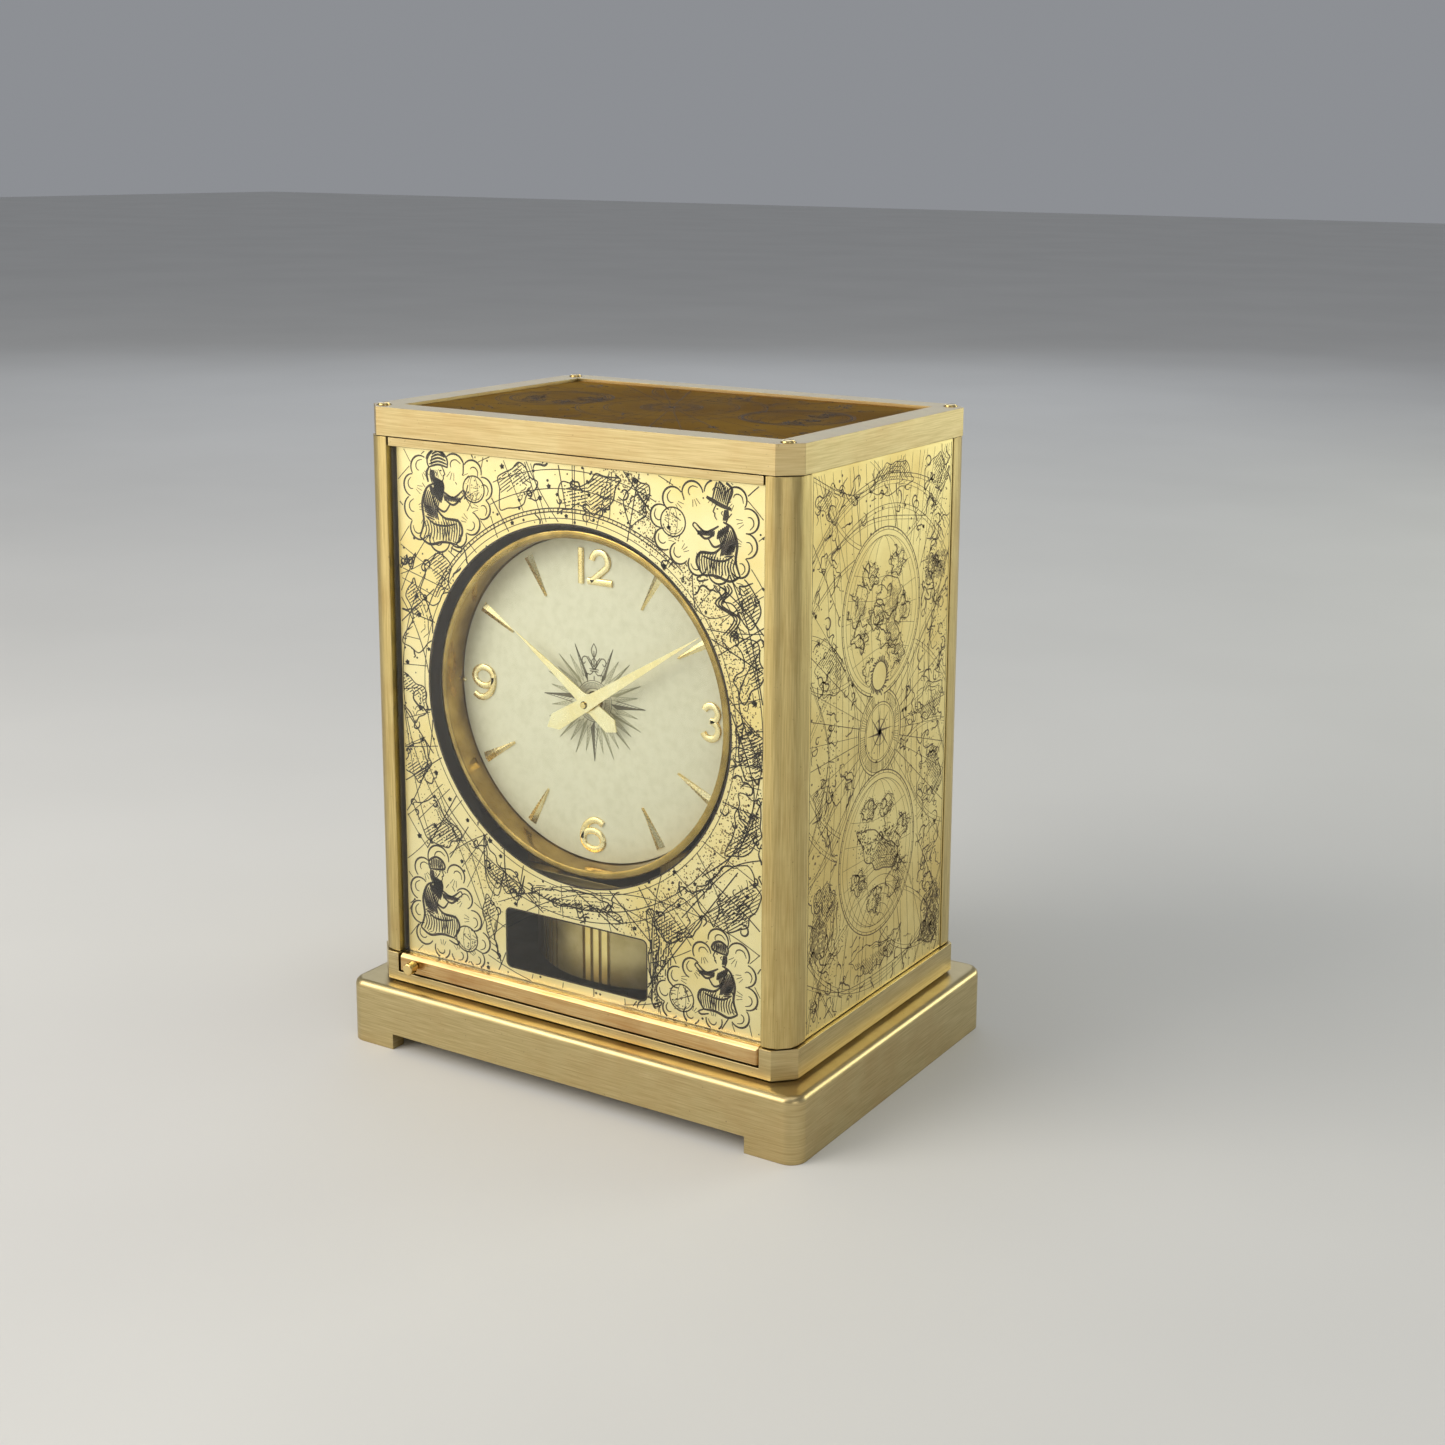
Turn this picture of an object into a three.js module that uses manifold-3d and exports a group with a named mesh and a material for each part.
// Gilt mantel clock with a torsion pendulum, wound by the breathing of a sealed bellows.
// Millimetres, +Z up. The origin is the middle of the surface the clock stands on.
// The door faces -Y, and +X is the right-hand side of someone looking at the dial.
import * as THREE from "three";
import { mergeVertices } from "three/addons/utils/BufferGeometryUtils.js";
import Module from "manifold-3d";

const wasm = await Module();
wasm.setup();

// ---------------------------------------------------------------- driving dimensions
const GAP = 0.3; // left between pieces that touch

const PLINTH = { width: 192, depth: 137, height: 23.4, corner: 6, edge: 2.2, wall: 6, deck: 6 };
const NOTCH = { width: 151.2, height: 5.9 }; // arch under the front and back of the plinth
const FOOT = { x: 66, y: -48, radius: 8, bottom: 0.5, disc: 4.5, stem: 3 };
const FRAME = { width: 177.2, depth: 124.8, chamfer: 6.6, bottom: 24.6, top: 35, wall: 10 };
const CAP = { width: 176, depth: 123.6, chamfer: 6.8, bottom: 225, top: 235, rim: 10.6, recess: 1.1 };
const SCREW = { x: 82.3, y: 56, head: 2.3, shank: 1.2, proud: 0.7, slot: 0.5 };
const OPENING = 77.3; // half the width between the corner posts
const POST = { outer: 87.4, front: 61.4, side: 49.5, back: 5, inner: 55.2 };
const SIDE_PANEL = { x: 87, thickness: 1.2, half: 49.2 };
const REAR_PANEL = { y: 60.6, thickness: 1.2 };

const DOOR = { half: 76.6, front: -62, back: -57, glass: 2, glassFront: -60 };
const DOOR_RAIL = { bottom: 28.4, top: 34.9, bevel: 1.2, corner: 0.8 };
const DOOR_HEAD = { bottom: 221.5, top: 224.6, front: -61.2 };
const PIVOT = { x: 74.6, y: -59.9, pin: 0.7, hole: 1 };
const KNOB = { x: -69.3, z: 31.7, radius: 2.2, neck: 1.4, length: 4.6 };

const DIAL = { z: 137.6, radius: 57.6, front: -46, back: -44.6, hole: 3.6 };
const BEZEL = { inner: 57.9, outer: 60, front: -56.2, back: -43.8 };
const MARKER = { from: 40, to: 55.2, narrow: 0.9, wide: 3.9, height: 0.9 };
const HAND_WIDTH = 6.2;
const MINUTE_HAND = { reach: 55.5, shoulder: 14.3, tail: 18.5, front: -52.2, back: -51.6, bore: 1.4 };
const HOUR_HAND = { reach: 37.8, shoulder: 11.4, tail: 14.5, front: -50, back: -49.4, bore: 2.2 };
const SHOWN_MINUTES = 9.6; // the time set is 10 hours and this many minutes
const MINUTE_ANGLE = (SHOWN_MINUTES / 60) * 2 * Math.PI;
const HOUR_ANGLE = ((10 + SHOWN_MINUTES / 60) / 12) * 2 * Math.PI;

const PLATE = { radius: 54, thickness: 2, front: -38.2, rear: -17.8, leg: [22, 36] };
const PILLAR = { radius: 2.6, from: 49, angles: [30, 200, 305] };
const PLATFORM = { bottom: 68, top: 71, x: 68, front: -43, back: 52, hole: 6 };
const COLUMN = { x: 60, y: 40, radius: 4 };

// Toothed wheels: number of teeth and module; a pair in mesh shares one module.
const BARREL = { teeth: 48, module: 1, x: -17.4, z: 160.8, drum: 22.3 };
const CENTRE_PINION = { teeth: 10, module: 1 };
const CENTRE_WHEEL = { teeth: 40, module: 0.8 };
const THIRD_PINION = { teeth: 16, module: 0.8 };
const THIRD_WHEEL = { teeth: 32, module: 0.8 };
const ESCAPE_PINION = { teeth: 20, module: 0.8 };
const ESCAPE_WHEEL = { teeth: 15, tip: 9, root: 6.6, drop: 26 };
const CANNON_PINION = { teeth: 10, module: 0.7 };
const MINUTE_WHEEL = { teeth: 30, module: 0.7 };
const MINUTE_PINION = { teeth: 8, module: 0.7 };
const HOUR_WHEEL = { teeth: 32, module: 0.7 };
const PALLET_DROP = 13.4; // from the escape wheel's arbor down to the pallet arbor

// Where each toothed piece lies from front to back, so that only the meshing ones share a layer.
const LAYER = {
  hourWheel: [-43.1, -41.6],
  minutePinion: [-43.6, -40.2],
  cannonPinion: [-40.6, -38.7],
  minuteWheel: [-40.4, -38.9],
  centrePinion: [-35.2, -32.4],
  barrelWheel: [-34.8, -32.8],
  barrelDrum: [-33, -22.6],
  escapeWheel: [-31, -29.6],
  escapePinion: [-27.2, -24.5],
  thirdWheel: [-26.6, -25.1],
  thirdPinion: [-22.2, -19.5],
  centreWheel: [-21.6, -20.1],
  pulley: [-15.3, -12.7],
  palletTail: [-13.4, -12],
  ratchet: [-12.3, -10.9],
};

const BELLOWS = { radius: 46, wall: 3, front: 14, back: 52, capsule: 41.5, waist: 36, leg: [16, 30] };
const END_PLATE = { radius: 36, front: 40.5, back: 42 };
const SPRING = { radius: 15, wire: 0.9, front: 44.8, back: 47.8, turns: 2 };
const PULLEY_RADIUS = 7;
const RATCHET = { teeth: 18, root: 5.2, tip: 6.2 };
const CHAIN = { radius: 0.5, x: -25.2, from: -14, to: 16.7 };

const PENDULUM = { radius: 48.5, inner: 41.6, bottom: 36, top: 60, staff: 2, staffTop: 92 };
const SPIDER = { bottom: 44, top: 47, hub: 5, reach: 41.3, width: 4, arms: 3 };
const ROLLER = { radius: 5, bottom: 83.4, top: 85, pin: 11.4 };
const WIRE = { radius: 0.35, top: 203.7 };
const BRACKET = { width: 10, foot: 176, arm: 204, top: 207, back: 6 };
const REGULATOR = { hub: 4, reach: 22, bottom: 207.3, top: 208.5 };
const LOCK = { y: -34, hub: 4, reach: 15.5, bottom: 25, top: 26.6, grip: 2.4, gripTop: 30 };
const LEVEL = { x: 34, y: -42, radius: 7.5, height: 4.3 };

// ---------------------------------------------------------------- colours
const FINISH = {
  satinBrass: { color: 0xcdb87c, roughness: 0.35, metalness: 1 },
  polishedBrass: { color: 0xe0c878, roughness: 0.15, metalness: 1 },
  copperBrass: { color: 0xc9995c, roughness: 0.3, metalness: 1 },
  giltPanel: { color: 0xd8c67e, roughness: 0.4, metalness: 0.9 },
  chartTop: { color: 0x77623a, roughness: 0.3, metalness: 0.6 },
  glass: { color: 0xdfe8e0, roughness: 0.05, metalness: 0 },
  dial: { color: 0xe2dcc0, roughness: 0.6, metalness: 0 },
  handGilt: { color: 0xeedc9c, roughness: 0.2, metalness: 1 },
  steel: { color: 0x9a9a98, roughness: 0.3, metalness: 1 },
};

// ---------------------------------------------------------------- solids
const clock = new THREE.Group();

// A three.js geometry as a manifold-3d solid, turned right side out.
function solid(geometry) {
  const bare = geometry.index ? geometry.toNonIndexed() : geometry.clone();
  bare.deleteAttribute("normal");
  bare.deleteAttribute("uv");
  const merged = mergeVertices(bare, 1e-4);
  const index = merged.index.array;
  const kept = [];
  for (let i = 0; i < index.length; i += 3) {
    const [a, b, c] = [index[i], index[i + 1], index[i + 2]];
    if (a !== b && b !== c && a !== c) kept.push(a, b, c);
  }
  const make = (triangles) =>
    new wasm.Manifold(
      new wasm.Mesh({
        numProp: 3,
        vertProperties: new Float32Array(merged.attributes.position.array),
        triVerts: new Uint32Array(triangles),
      }),
    );
  const made = make(kept);
  return made.volume() < 0 ? make(kept.reverse()) : made;
}

function join(...parts) {
  return parts.reduce((whole, part) => whole.add(part));
}

function cut(whole, ...holes) {
  return holes.reduce((rest, hole) => rest.subtract(hole), whole);
}

function box([x0, x1], [y0, y1], [z0, z1]) {
  const g = new THREE.BoxGeometry(x1 - x0, y1 - y0, z1 - z0);
  return solid(g.translate((x0 + x1) / 2, (y0 + y1) / 2, (z0 + z1) / 2));
}

function shapeOf(points) {
  return new THREE.Shape(points.map(([a, b]) => new THREE.Vector2(a, b)));
}

// An outline of (x, y) points pulled up from z0 to z1.
function upright(points, z0, z1) {
  const g = new THREE.ExtrudeGeometry(shapeOf(points), { depth: z1 - z0, bevelEnabled: false });
  return solid(g.translate(0, 0, z0));
}

// An outline of (x, z) points pulled back from y0 to y1.
function facing(points, y0, y1) {
  const g = new THREE.ExtrudeGeometry(shapeOf(points), { depth: y1 - y0, bevelEnabled: false });
  return solid(g.rotateX(Math.PI / 2).translate(0, y1, 0));
}

// An outline of (y, z) points pulled sideways from x0 to x1.
function sideways(points, x0, x1) {
  const g = new THREE.ExtrudeGeometry(shapeOf(points), { depth: x1 - x0, bevelEnabled: false });
  return solid(g.rotateX(Math.PI / 2).rotateZ(Math.PI / 2).translate(x0, 0, 0));
}

// A profile of (radius, height) points turned about a vertical axis through (x, y).
function turnedUp(profile, x, y, segments) {
  const g = new THREE.LatheGeometry(shapeOf(profile).getPoints(), segments);
  return solid(g.rotateX(Math.PI / 2).translate(x, y, 0));
}

// A profile of (radius, y) points turned about a front-to-back axis through (x, z).
function turnedBack(profile, x, z, segments) {
  return solid(new THREE.LatheGeometry(shapeOf(profile).getPoints(), segments).translate(x, 0, z));
}

const rod = (r, from, to) => [[0, from], [r, from], [r, to], [0, to]];
const pipe = (inner, r, from, to) => [[inner, from], [r, from], [r, to], [inner, to], [inner, from]];

function ring(count, place) {
  return Array.from({ length: count }, (_, i) => place((2 * Math.PI * i) / count, i));
}

const polar = (r, angle, [x, z] = [0, 0]) => [x + r * Math.cos(angle), z + r * Math.sin(angle)];

function add(name, made, finish) {
  const mesh = made.getMesh();
  const g = new THREE.BufferGeometry();
  g.setAttribute("position", new THREE.BufferAttribute(mesh.vertProperties, 3));
  g.setIndex(new THREE.BufferAttribute(mesh.triVerts, 1));
  g.computeVertexNormals();
  const piece = new THREE.Mesh(g, new THREE.MeshStandardMaterial(FINISH[finish]));
  piece.name = name;
  clock.add(piece);
}

// ---------------------------------------------------------------- toothed wheels
const pitchRadius = ({ teeth, module }) => (teeth * module) / 2;
const meshDistance = (a, b) => pitchRadius(a) + pitchRadius(b);

// Turn that puts a wheel's tooth gap on its neighbour's tooth, along the line of centres.
function meshPhase(from, to, phase, driver, driven) {
  const line = Math.atan2(to[1] - from[1], to[0] - from[0]);
  const [pitchA, pitchB] = [(2 * Math.PI) / driver.teeth, (2 * Math.PI) / driven.teeth];
  return line + Math.PI - ((phase - line) / pitchA + 0.5) * pitchB;
}

// Straight-flanked teeth, slim enough to run with backlash.
function wheel(gear, [x, z], phase, y0, y1) {
  const pitch = (2 * Math.PI) / gear.teeth;
  const tip = pitchRadius(gear) + 0.85 * gear.module;
  const root = pitchRadius(gear) - 1.1 * gear.module;
  const outline = ring(gear.teeth, (a) => [
    polar(root, a + phase - 0.29 * pitch, [x, z]),
    polar(tip, a + phase - 0.1 * pitch, [x, z]),
    polar(tip, a + phase + 0.1 * pitch, [x, z]),
    polar(root, a + phase + 0.29 * pitch, [x, z]),
  ]).flat();
  return facing(outline, y0, y1);
}

const arbor = (r, [x, z], y0, y1) => turnedBack(rod(r, y0, y1), x, z, 14);

// ---------------------------------------------------------------- case
// Rectangle with its four corners cut off at 45 degrees.
function octagon(width, depth, chamfer) {
  const [x, y, c] = [width / 2, depth / 2, chamfer];
  return [
    [-x + c, -y], [x - c, -y], [x, -y + c], [x, y - c],
    [x - c, y], [-x + c, y], [-x, y - c], [-x, -y + c],
  ];
}

function plinth() {
  const { width, depth, height, corner, edge, wall, deck } = PLINTH;
  const [x, y] = [width / 2 - edge, depth / 2 - edge];
  const shape = new THREE.Shape();
  const r = corner - edge;
  shape.moveTo(-x + r, -y).lineTo(x - r, -y).absarc(x - r, -y + r, r, -Math.PI / 2, 0);
  shape.lineTo(x, y - r).absarc(x - r, y - r, r, 0, Math.PI / 2);
  shape.lineTo(-x + r, y).absarc(-x + r, y - r, r, Math.PI / 2, Math.PI);
  shape.lineTo(-x, -y + r).absarc(-x + r, -y + r, r, Math.PI, 1.5 * Math.PI);
  const body = new THREE.ExtrudeGeometry(shape, {
    depth: height,
    bevelThickness: edge,
    bevelSize: edge,
    bevelSegments: 3,
    curveSegments: 4,
  }).translate(0, 0, -edge);
  const whole = solid(body);
  const below = box([-width, width], [-depth, depth], [-2 * edge - 1, 0]);
  const pocket = box(
    [-width / 2 + wall, width / 2 - wall],
    [-depth / 2 + wall, depth / 2 - wall],
    [-1, height - deck],
  );
  const notch = box([-NOTCH.width / 2, NOTCH.width / 2], [-depth, depth], [-1, NOTCH.height]);
  add("plinth", cut(whole, below, pocket, notch), "satinBrass");
}

function levellingFeet() {
  const ceiling = PLINTH.height - PLINTH.deck - GAP;
  const discTop = FOOT.bottom + FOOT.disc;
  for (const [name, side] of [["left", -1], ["right", 1]]) {
    const profile = [
      [0, FOOT.bottom],
      [FOOT.radius, FOOT.bottom],
      [FOOT.radius, discTop],
      [FOOT.stem, discTop],
      [FOOT.stem, ceiling],
      [0, ceiling],
    ];
    add("levelling_foot_" + name, turnedUp(profile, side * FOOT.x, FOOT.y, 32), "satinBrass");
  }
}

// Lower rim of the case, standing on the plinth on a narrower shadow step, with a sill for the door.
function baseFrame() {
  const { width, depth, chamfer, bottom, top, wall } = FRAME;
  const step = 1.4;
  const outer = upright(octagon(width, depth, chamfer), bottom, top);
  const stand = upright(
    octagon(width - 2 * step, depth - 2 * step, chamfer - 0.6),
    PLINTH.height + GAP,
    bottom + GAP,
  );
  const inside = box(
    [-width / 2 + wall, width / 2 - wall],
    [-depth / 2 + wall, depth / 2 - wall],
    [0, top + 1],
  );
  const doorway = box(
    [-OPENING, OPENING],
    [-depth, -depth / 2 + wall + 1],
    [DOOR_RAIL.bottom - 0.5, top + 1],
  );
  const socket = turnedUp(rod(PIVOT.hole, PLINTH.height, DOOR_RAIL.bottom), PIVOT.x, PIVOT.y, 12);
  add("base_frame", cut(join(outer, stand), inside, doorway, socket), "satinBrass");
}

// Posts of one section, mirrored to the four corners; the outer corner is a softened 45 degree facet.
function cornerPosts() {
  const { outer, front, side, back, inner } = POST;
  const section = [
    [OPENING, front], [outer - 6.8, front], [outer - 4.1, front - 0.8], [outer - 0.8, front - 4.1],
    [outer, front - 6.8], [outer, side], [outer - back, side], [outer - back, inner], [OPENING, inner],
  ];
  for (const [depth, sy] of [["front", -1], ["rear", 1]])
    for (const [hand, sx] of [["left", -1], ["right", 1]]) {
      const points = section.map(([x, y]) => [sx * x, sy * y]);
      const post = upright(points, FRAME.top + GAP, CAP.bottom - GAP);
      add(`corner_post_${depth}_${hand}`, post, "satinBrass");
    }
}

function capFrame() {
  const { width, depth, chamfer, bottom, top, rim, recess } = CAP;
  const seat = 2.6; // ledge that carries the panel
  const outer = upright(octagon(width, depth, chamfer), bottom, top);
  const [x, y] = [width / 2 - rim, depth / 2 - rim];
  const well = box([-x, x], [-y, y], [top - recess - 1.2 - GAP, top + 1]);
  const through = box([-x + seat, x - seat], [-y + seat, y - seat], [0, top + 1]);
  const socket = turnedUp(rod(PIVOT.hole, bottom - 1, bottom + 4), PIVOT.x, PIVOT.y, 12);
  const corners = [[-1, -1], [1, -1], [-1, 1], [1, 1]];
  const bores = corners.flatMap(([sx, sy]) => [
    turnedUp(rod(SCREW.head + GAP, top - 1, top + 1), sx * SCREW.x, sy * SCREW.y, 24),
    turnedUp(rod(SCREW.shank + GAP, top - 6, top), sx * SCREW.x, sy * SCREW.y, 10),
  ]);
  add("top_cap_frame", cut(outer, well, through, socket, ...bores), "satinBrass");
  const panel = box([-x + GAP, x - GAP], [-y + GAP, y - GAP], [top - recess - 1.2, top - recess]);
  add("top_panel", panel, "chartTop");
  for (const [sx, sy] of corners) {
    const [px, py] = [sx * SCREW.x, sy * SCREW.y];
    const headBottom = top - 1 + GAP;
    const headTop = top + SCREW.proud;
    const profile = [
      [0, top - 6 + GAP], [SCREW.shank, top - 6 + GAP], [SCREW.shank, headBottom],
      [SCREW.head, headBottom], [SCREW.head, headTop - 0.3], [SCREW.head - 0.5, headTop], [0, headTop],
    ];
    const across = [py - SCREW.slot / 2, py + SCREW.slot / 2];
    const slot = box([px - 3, px + 3], across, [headTop - 0.6, headTop + 1]);
    const name = `cap_screw_${sy < 0 ? "front" : "rear"}_${sx < 0 ? "left" : "right"}`;
    add(name, cut(turnedUp(profile, px, py, 24), slot), "polishedBrass");
  }
}

function panels() {
  const [z0, z1] = [FRAME.top + GAP, CAP.bottom - GAP];
  const { x, thickness, half } = SIDE_PANEL;
  add("side_panel_left", box([-x, -x + thickness], [-half, half], [z0, z1]), "giltPanel");
  add("side_panel_right", box([x - thickness, x], [-half, half], [z0, z1]), "giltPanel");
  const rear = [REAR_PANEL.y - REAR_PANEL.thickness, REAR_PANEL.y];
  add("rear_panel", box([-OPENING + GAP, OPENING - GAP], rear, [z0, z1]), "giltPanel");
}

// ---------------------------------------------------------------- door
function door() {
  const { half, front, back, glass, glassFront } = DOOR;
  const { x, y, pin, hole } = PIVOT;
  const { bottom, top, bevel, corner } = DOOR_RAIL;
  const rail = sideways(
    [[back, bottom], [front, bottom], [front, top - bevel], [front + bevel, top], [back, top]],
    -half,
    half,
  );
  // The hinged end loses its sharp front corner, so that it clears the case as it swings.
  const nose = upright(
    [[half - corner - 1, front - 1], [half + 1, front - 1], [half + 1, front + corner + 1]],
    bottom - 1,
    top + 1,
  );
  const railBore = turnedUp(rod(hole, bottom - 1, bottom + 4), x, y, 12);
  add("door_bottom_rail", cut(rail, nose, railBore), "copperBrass");
  const head = box([-half, half], [DOOR_HEAD.front, back], [DOOR_HEAD.bottom, DOOR_HEAD.top]);
  const headBore = turnedUp(rod(hole, DOOR_HEAD.top - 2.4, DOOR_HEAD.top + 1), x, y, 12);
  add("door_top_rail", cut(head, headBore), "satinBrass");
  const paneDepth = [glassFront, glassFront + glass];
  const pane = box([-half + 0.2, half - 0.2], paneDepth, [top + GAP, DOOR_HEAD.bottom - GAP]);
  add("door_glass", pane, "glass");

  const lowPin = rod(pin, PLINTH.height + 2 * GAP, bottom + 4 - GAP);
  const highPin = rod(pin, DOOR_HEAD.top - 2.4 + GAP, CAP.bottom + 4 - GAP);
  add("door_pivot_pin_lower", turnedUp(lowPin, x, y, 10), "steel");
  add("door_pivot_pin_upper", turnedUp(highPin, x, y, 10), "steel");

  const knobFront = front - GAP - KNOB.length;
  const profile = [
    [0, knobFront], [KNOB.radius - 0.3, knobFront], [KNOB.radius, knobFront + 0.3],
    [KNOB.radius, knobFront + 3.2], [KNOB.neck, knobFront + 3.6], [KNOB.neck, front - GAP], [0, front - GAP],
  ];
  add("door_knob", turnedBack(profile, KNOB.x, KNOB.z, 32), "polishedBrass");
}

// ---------------------------------------------------------------- dial and hands
const clockwise = (r, angle, side = 0) => [
  r * Math.sin(angle) + side * Math.cos(angle),
  DIAL.z + r * Math.cos(angle) - side * Math.sin(angle),
];

function dial() {
  const { radius, front, back, hole, z } = DIAL;
  const disc = turnedBack(pipe(hole, radius, front, back), 0, z, 96);
  const markers = [1, 2, 4, 5, 7, 8, 10, 11].map((hour) => {
    const a = (hour / 12) * 2 * Math.PI;
    const { from, to, narrow, wide, height } = MARKER;
    const outline = [
      clockwise(from, a, -narrow / 2), clockwise(to, a, -wide / 2),
      clockwise(to, a, wide / 2), clockwise(from, a, narrow / 2),
    ];
    return facing(outline, front - height, front + 0.2);
  });
  const feet = [40, 160, 280].map((deg) => {
    const [x, fz] = clockwise(44, THREE.MathUtils.degToRad(deg));
    return turnedBack(rod(1.5, back - 0.2, PLATE.front - GAP), x, fz, 8);
  });
  add("dial_plate", join(disc, ...markers, ...feet), "dial");
  const bezel = turnedBack(pipe(BEZEL.inner, BEZEL.outer, BEZEL.front, BEZEL.back), 0, z, 96);
  add("dial_bezel", bezel, "satinBrass");
}

// Lance hand: one long taper from the shoulders of its counterpoise to the tip, and an eye round the bore.
function lance(hand, angle) {
  const w = HAND_WIDTH / 2;
  const outline = [
    clockwise(hand.reach, angle),
    clockwise(-hand.shoulder, angle, w),
    clockwise(-hand.tail, angle),
    clockwise(-hand.shoulder, angle, -w),
  ].reverse();
  const eye = turnedBack(rod(hand.bore + 1.3, hand.front, hand.back), 0, DIAL.z, 20);
  const bore = turnedBack(rod(hand.bore, hand.front - 1, hand.back + 1), 0, DIAL.z, 16);
  return cut(join(facing(outline, hand.front, hand.back), eye), bore);
}

function hands() {
  add("hour_hand", lance(HOUR_HAND, HOUR_ANGLE), "handGilt");
  add("minute_hand", lance(MINUTE_HAND, MINUTE_ANGLE), "handGilt");
}

// ---------------------------------------------------------------- movement
const CENTRE = [0, DIAL.z];
const BARREL_AXIS = [BARREL.x, BARREL.z];
const ESCAPE_AXIS = [0, DIAL.z - ESCAPE_WHEEL.drop];
const PALLET_AXIS = [0, ESCAPE_AXIS[1] - PALLET_DROP];

// Meeting point of two distances, on the right of the line from the centre to the escape arbor.
function thirdAxis() {
  const a = meshDistance(CENTRE_WHEEL, THIRD_PINION);
  const b = meshDistance(THIRD_WHEEL, ESCAPE_PINION);
  const d = ESCAPE_WHEEL.drop;
  const down = (a * a - b * b + d * d) / (2 * d);
  return [Math.sqrt(a * a - down * down), DIAL.z - down];
}
const THIRD_AXIS = thirdAxis();

function movementPlate(y0) {
  const y1 = y0 + PLATE.thickness;
  const round = turnedBack(rod(PLATE.radius, y0, y1), 0, DIAL.z, 72);
  const [near, far] = PLATE.leg;
  const leg = (side) =>
    box([Math.min(side * near, side * far), Math.max(side * near, side * far)], [y0, y1],
      [PLATFORM.top + GAP, DIAL.z - PLATE.radius + 14]);
  return join(round, leg(-1), leg(1));
}

function movementFrame() {
  const hole = (r, axis, y) => arbor(r, axis, y - 1, y + PLATE.thickness + 1);
  add("front_plate", cut(movementPlate(PLATE.front), hole(1.6, CENTRE, PLATE.front)), "satinBrass");
  const rear = cut(
    movementPlate(PLATE.rear),
    hole(1.3, PALLET_AXIS, PLATE.rear),
    hole(2.4, BARREL_AXIS, PLATE.rear),
  );
  add("rear_plate", rear, "satinBrass");
  PILLAR.angles.forEach((deg, i) => {
    const at = polar(PILLAR.from, THREE.MathUtils.degToRad(deg), CENTRE);
    const y0 = PLATE.front + PLATE.thickness + GAP;
    const made = turnedBack(rod(PILLAR.radius, y0, PLATE.rear - GAP), ...at, 20);
    add(`plate_pillar_${i + 1}`, made, "satinBrass");
  });
  const { bottom, top, x, front, back, hole: bore } = PLATFORM;
  const deck = box([-x, x], [front, back], [bottom, top]);
  const passage = turnedUp(rod(bore, bottom - 1, top + 1), 0, 0, 20);
  add("movement_platform", cut(deck, passage), "satinBrass");
  for (const [depth, sy] of [["front", -1], ["rear", 1]])
    for (const [hand, sx] of [["left", -1], ["right", 1]]) {
      const profile = rod(COLUMN.radius, PLINTH.height + GAP, bottom - GAP);
      const made = turnedUp(profile, sx * COLUMN.x, sy * COLUMN.y, 24);
      add(`platform_column_${depth}_${hand}`, made, "satinBrass");
    }
}

const ARBOR_FRONT = PLATE.front + PLATE.thickness + GAP;
const ARBOR_BACK = PLATE.rear - GAP;

function goingTrain() {
  const centrePhase = 0;
  const thirdPhase = meshPhase(CENTRE, THIRD_AXIS, centrePhase, CENTRE_WHEEL, THIRD_PINION);
  const escapePhase = meshPhase(THIRD_AXIS, ESCAPE_AXIS, 0, THIRD_WHEEL, ESCAPE_PINION);
  const barrelPhase = meshPhase(CENTRE, BARREL_AXIS, centrePhase, CENTRE_PINION, BARREL);

  const barrel = join(
    wheel(BARREL, BARREL_AXIS, barrelPhase, ...LAYER.barrelWheel),
    turnedBack(rod(BARREL.drum, ...LAYER.barrelDrum), ...BARREL_AXIS, 48),
  );
  add("mainspring_barrel", cut(barrel, arbor(2.3, BARREL_AXIS, -36, -20)), "satinBrass");

  const centre = join(
    wheel(CENTRE_PINION, CENTRE, centrePhase, ...LAYER.centrePinion),
    wheel(CENTRE_WHEEL, CENTRE, centrePhase, ...LAYER.centreWheel),
    arbor(1.1, CENTRE, -52.9, ARBOR_BACK),
  );
  add("centre_wheel", centre, "satinBrass");

  const third = join(
    wheel(THIRD_PINION, THIRD_AXIS, thirdPhase, ...LAYER.thirdPinion),
    wheel(THIRD_WHEEL, THIRD_AXIS, 0, ...LAYER.thirdWheel),
    arbor(1, THIRD_AXIS, ARBOR_FRONT, ARBOR_BACK),
  );
  add("third_wheel", third, "satinBrass");

  // Club teeth: a steep locking face and a long sloping back.
  const pitch = (2 * Math.PI) / ESCAPE_WHEEL.teeth;
  const club = ring(ESCAPE_WHEEL.teeth, (a) => [
    polar(ESCAPE_WHEEL.root, a, ESCAPE_AXIS),
    polar(ESCAPE_WHEEL.tip, a + 0.52 * pitch, ESCAPE_AXIS),
    polar(ESCAPE_WHEEL.root, a + 0.62 * pitch, ESCAPE_AXIS),
  ]).flat();
  const escape = join(
    facing(club, ...LAYER.escapeWheel),
    wheel(ESCAPE_PINION, ESCAPE_AXIS, escapePhase, ...LAYER.escapePinion),
    arbor(0.9, ESCAPE_AXIS, ARBOR_FRONT, ARBOR_BACK),
  );
  add("escape_wheel", escape, "satinBrass");
}

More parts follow.
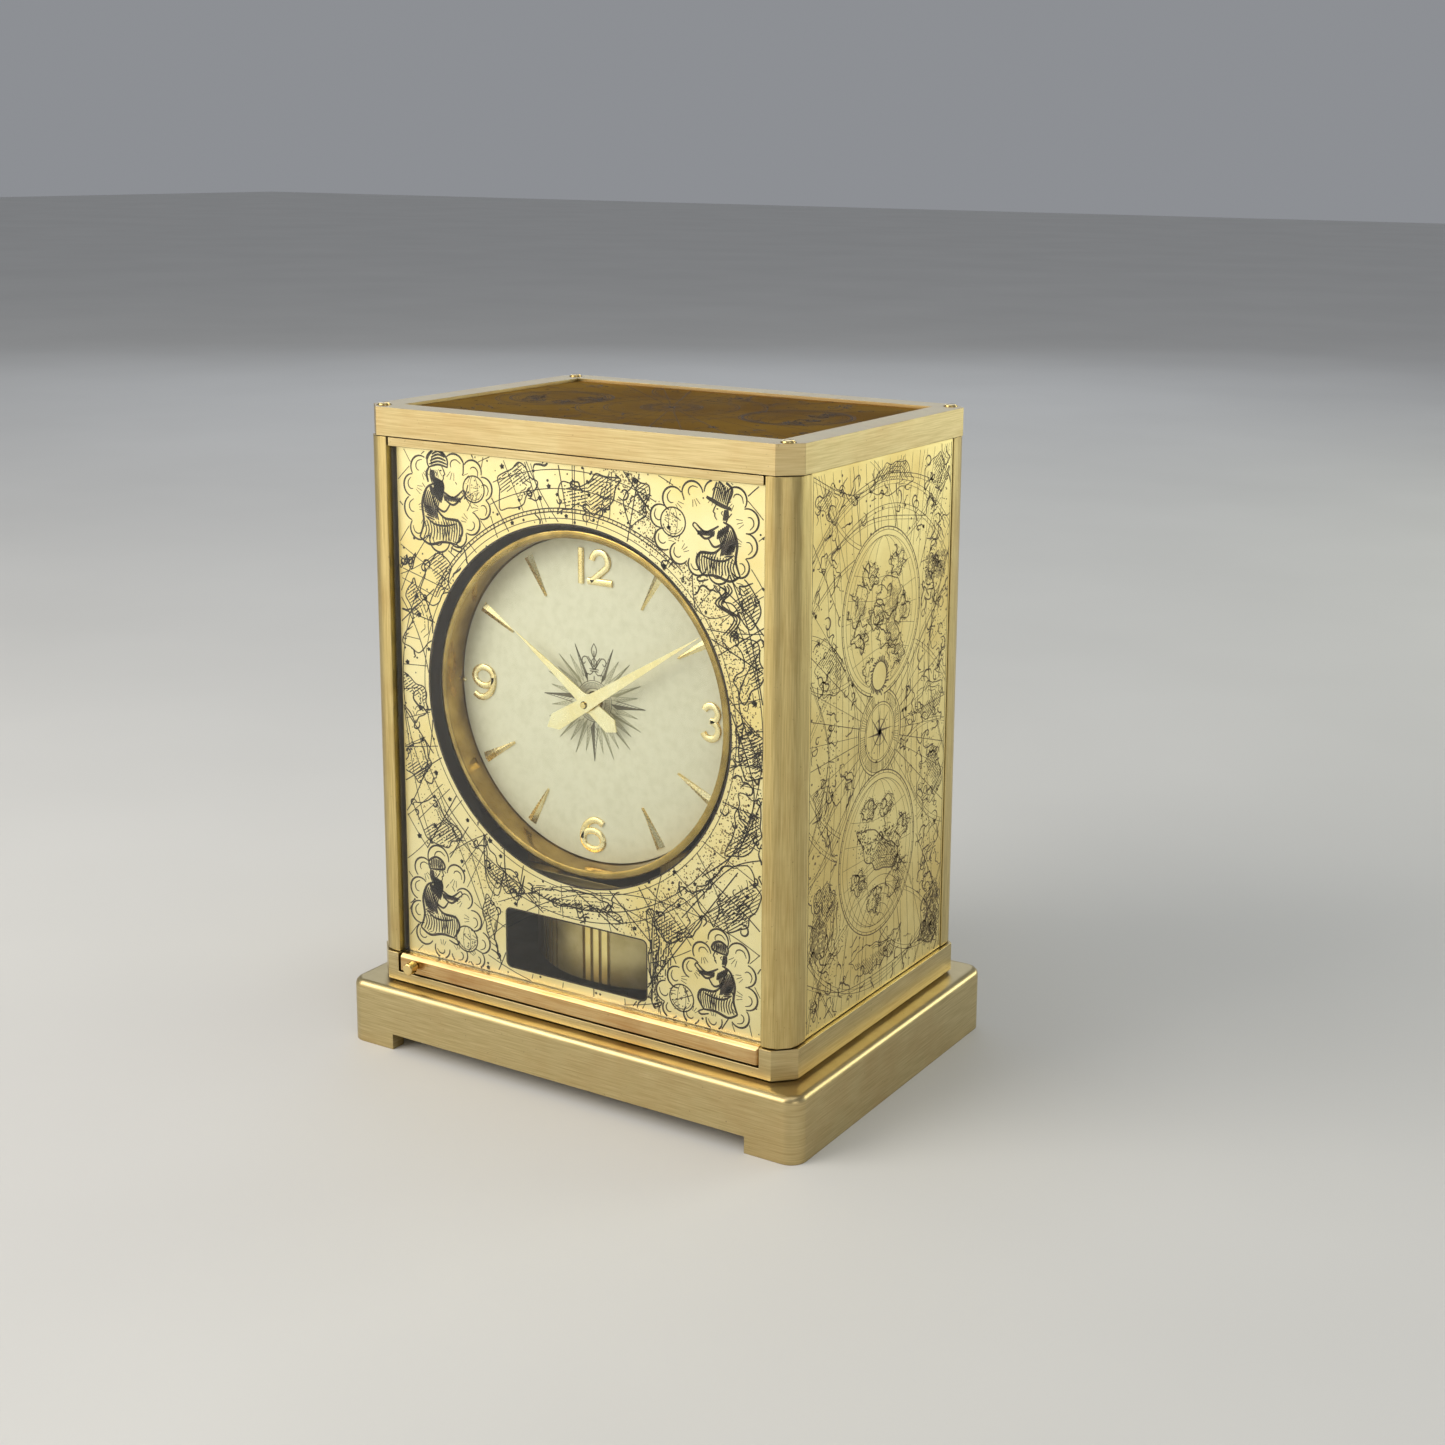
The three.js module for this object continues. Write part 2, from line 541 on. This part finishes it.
// Two pallet arms under the escape wheel, and behind the rear plate a fork that meets the impulse pin.
function palletFork() {
  const [, z] = PALLET_AXIS;
  const half = [[2, -1.8], [6, 1.8], [8.6, 5.2], [7.2, 6.1], [5.4, 4.2], [2, 1.6]];
  const anchor = [...half, ...half.map(([x, h]) => [-x, h]).reverse()].map(([x, h]) => [x, z + h]);
  const prong = [[1.2, 1.4], [1.2, -10.2], [2.6, -12.2], [2.6, -15.6], [1.2, -15.6], [1.2, -12.8]];
  const tail = [...prong, ...prong.map(([x, h]) => [-x, h]).reverse()].map(([x, h]) => [x, z + h]);
  const made = join(
    facing(anchor, ...LAYER.escapeWheel),
    facing(tail, ...LAYER.palletTail),
    arbor(0.9, PALLET_AXIS, ARBOR_FRONT, -11.9),
  );
  add("pallet_fork", made, "steel");
}

// Wheels between the front plate and the dial that slow the minute hand to the hour hand.
function motionWork() {
  const stud = polar(meshDistance(CANNON_PINION, MINUTE_WHEEL), -Math.PI / 4, CENTRE);
  const cannon = join(
    wheel(CANNON_PINION, CENTRE, 0, ...LAYER.cannonPinion),
    turnedBack(rod(1.9, -51.3, -40), 0, DIAL.z, 16),
  );
  add("cannon_pinion", cut(cannon, arbor(1.4, CENTRE, -53, -38)), "steel");

  const wheelPhase = meshPhase(CENTRE, stud, 0, CANNON_PINION, MINUTE_WHEEL);
  const minute = join(
    wheel(MINUTE_WHEEL, stud, wheelPhase, ...LAYER.minuteWheel),
    wheel(MINUTE_PINION, stud, 0, ...LAYER.minutePinion),
    arbor(0.8, stud, -43.9, PLATE.front - GAP),
  );
  add("minute_wheel", minute, "satinBrass");

  const hourPhase = meshPhase(stud, CENTRE, 0, MINUTE_PINION, HOUR_WHEEL);
  const hour = join(
    wheel(HOUR_WHEEL, CENTRE, hourPhase, ...LAYER.hourWheel),
    turnedBack(rod(3, -49.1, -42), 0, DIAL.z, 16),
  );
  add("hour_wheel", cut(hour, turnedBack(rod(2.3, -50, -41), 0, DIAL.z, 16)), "satinBrass");
}

// ---------------------------------------------------------------- winding
function windingWork() {
  const shaft = join(
    arbor(2, BARREL_AXIS, ARBOR_FRONT, -10),
    turnedBack(rod(PULLEY_RADIUS, ...LAYER.pulley), ...BARREL_AXIS, 32),
  );
  add("winding_arbor", shaft, "steel");

  // Saw teeth on a small wheel behind the pulley, and the click that holds them.
  const { teeth, root, tip } = RATCHET;
  const pitch = (2 * Math.PI) / teeth;
  const saw = ring(teeth, (a) => [
    polar(root, a, BARREL_AXIS),
    polar(tip, a + 0.9 * pitch, BARREL_AXIS),
  ]).flat();
  const ratchet = cut(facing(saw, ...LAYER.ratchet), arbor(2.3, BARREL_AXIS, -13, -10));
  add("winding_ratchet", ratchet, "steel");
  const [bx, bz] = BARREL_AXIS;
  const pawl = [[13, -1.6], [15, 0.4], [14, 2.6], [7.6, 1.4], [6.9, 0.2]].map(([x, h]) => [bx + x, bz + h]);
  const click = join(facing(pawl, ...LAYER.ratchet), arbor(1, [bx + 13, bz + 0.6], -15.5, LAYER.ratchet[1]));
  add("winding_click", click, "steel");
}

function bellows() {
  const { radius, wall, front, back, capsule, waist, leg } = BELLOWS;
  const bore = radius - wall;
  const cup = [
    [0, back], [radius, back], [radius, front],
    [bore, front], [bore, back - wall], [0, back - wall],
  ];
  const foot = (side) => {
    const xs = leg.map((v) => side * v).sort((a, b) => a - b);
    return box(xs, [22, 46], [PLATFORM.top + GAP, DIAL.z - 36]);
  };
  const hollow = turnedBack(rod(bore, front - 1, back - wall), 0, DIAL.z, 64);
  const housing = join(cut(join(foot(-1), foot(1)), hollow), turnedBack(cup, 0, DIAL.z, 64));
  add("bellows_housing", housing, "satinBrass");

  // Three soldered folds of thin brass, full of a volatile gas on the real clock.
  const folds = [[0, 17.2], [capsule, 18.6], [waist, 22], [capsule, 25.4], [waist, 28.8], [capsule, 32.2]];
  const profile = [...folds, [waist, 35.6], [capsule, 39], [0, 40.2]];
  add("bellows_capsule", turnedBack(profile, 0, DIAL.z, 48), "satinBrass");
  const plate = turnedBack(rod(END_PLATE.radius, END_PLATE.front, END_PLATE.back), 0, DIAL.z, 48);
  add("bellows_end_plate", plate, "satinBrass");

  class Coil extends THREE.Curve {
    getPoint(t, target = new THREE.Vector3()) {
      const a = 2 * Math.PI * SPRING.turns * t;
      const y = SPRING.front + (SPRING.back - SPRING.front) * t;
      return target.set(SPRING.radius * Math.cos(a), y, DIAL.z + SPRING.radius * Math.sin(a));
    }
  }
  const wire = shapeOf(ring(6, (a) => polar(SPRING.wire / 2, a)));
  const coil = new THREE.ExtrudeGeometry(wire, { steps: 14 * SPRING.turns, extrudePath: new Coil() });
  add("return_spring", solid(coil), "steel");
  add("winding_chain", turnedBack(rod(CHAIN.radius, CHAIN.from, CHAIN.to), CHAIN.x, BARREL.z, 6), "steel");
}

// ---------------------------------------------------------------- pendulum
function pendulum() {
  const { radius, inner, bottom, top, staff, staffTop } = PENDULUM;
  add("pendulum_ring", turnedUp(pipe(inner, radius, bottom, top), 0, 0, 96), "polishedBrass");
  const arms = ring(SPIDER.arms, (a) => {
    const w = SPIDER.width / 2;
    const [c, s] = [Math.cos(a), Math.sin(a)];
    const corners = [[0, -w], [SPIDER.reach - 0.2, -w], [SPIDER.reach - 0.2, w], [0, w]];
    return upright(corners.map(([u, v]) => [c * u - s * v, s * u + c * v]), SPIDER.bottom, SPIDER.top);
  });
  const made = join(
    turnedUp(rod(SPIDER.hub, SPIDER.bottom, SPIDER.top + 3), 0, 0, 20),
    turnedUp(rod(staff, SPIDER.bottom, staffTop), 0, 0, 10),
    turnedUp(rod(ROLLER.radius, ROLLER.bottom, ROLLER.top), 0, 0, 16),
    box([-0.5, 0.5], [-ROLLER.pin, 0], [ROLLER.bottom + 0.2, ROLLER.top - 0.4]),
    ...arms,
  );
  add("pendulum_staff", made, "satinBrass");
  add("torsion_wire", turnedUp(rod(WIRE.radius, staffTop + GAP, WIRE.top), 0, 0, 6), "steel");
}

function suspension() {
  const { width, foot, arm, top, back } = BRACKET;
  const y0 = PLATE.rear + PLATE.thickness + GAP;
  const profile = [[y0, foot], [y0, top], [back, top], [back, arm], [y0 + 3, arm], [y0 + 3, foot]];
  add("suspension_bracket", sideways(profile, -width / 2, width / 2), "satinBrass");
  const { hub, reach, bottom: z0, top: z1 } = REGULATOR;
  const blade = upright([[0, -1.4], [reach, -0.8], [reach, 0.8], [0, 1.4]], z0, z1);
  add("regulator_lever", join(turnedUp(rod(hub, z0, z1), 0, 0, 16), blade), "polishedBrass");
}

// ---------------------------------------------------------------- controls on the plinth
function controls() {
  const { y, hub, reach, bottom, top, grip, gripTop } = LOCK;
  const tip = y - reach;
  const lever = join(
    turnedUp(rod(hub, PLINTH.height + GAP, top), 0, y, 20),
    upright([[-2, y], [-1.6, tip], [1.6, tip], [2, y]], bottom, top),
    turnedUp(rod(grip, bottom, gripTop), 0, tip, 16),
  );
  add("pendulum_lock_lever", lever, "polishedBrass");
  const base = PLINTH.height + GAP;
  const vial = [
    [0, base], [LEVEL.radius, base], [LEVEL.radius, base + 2.6],
    [LEVEL.radius - 1.4, base + LEVEL.height - 0.4], [0, base + LEVEL.height],
  ];
  add("spirit_level", turnedUp(vial, LEVEL.x, LEVEL.y, 36), "glass");
}

plinth();
levellingFeet();
baseFrame();
cornerPosts();
capFrame();
panels();
door();
dial();
hands();
movementFrame();
goingTrain();
palletFork();
motionWork();
windingWork();
bellows();
suspension();
pendulum();
controls();

export default clock;
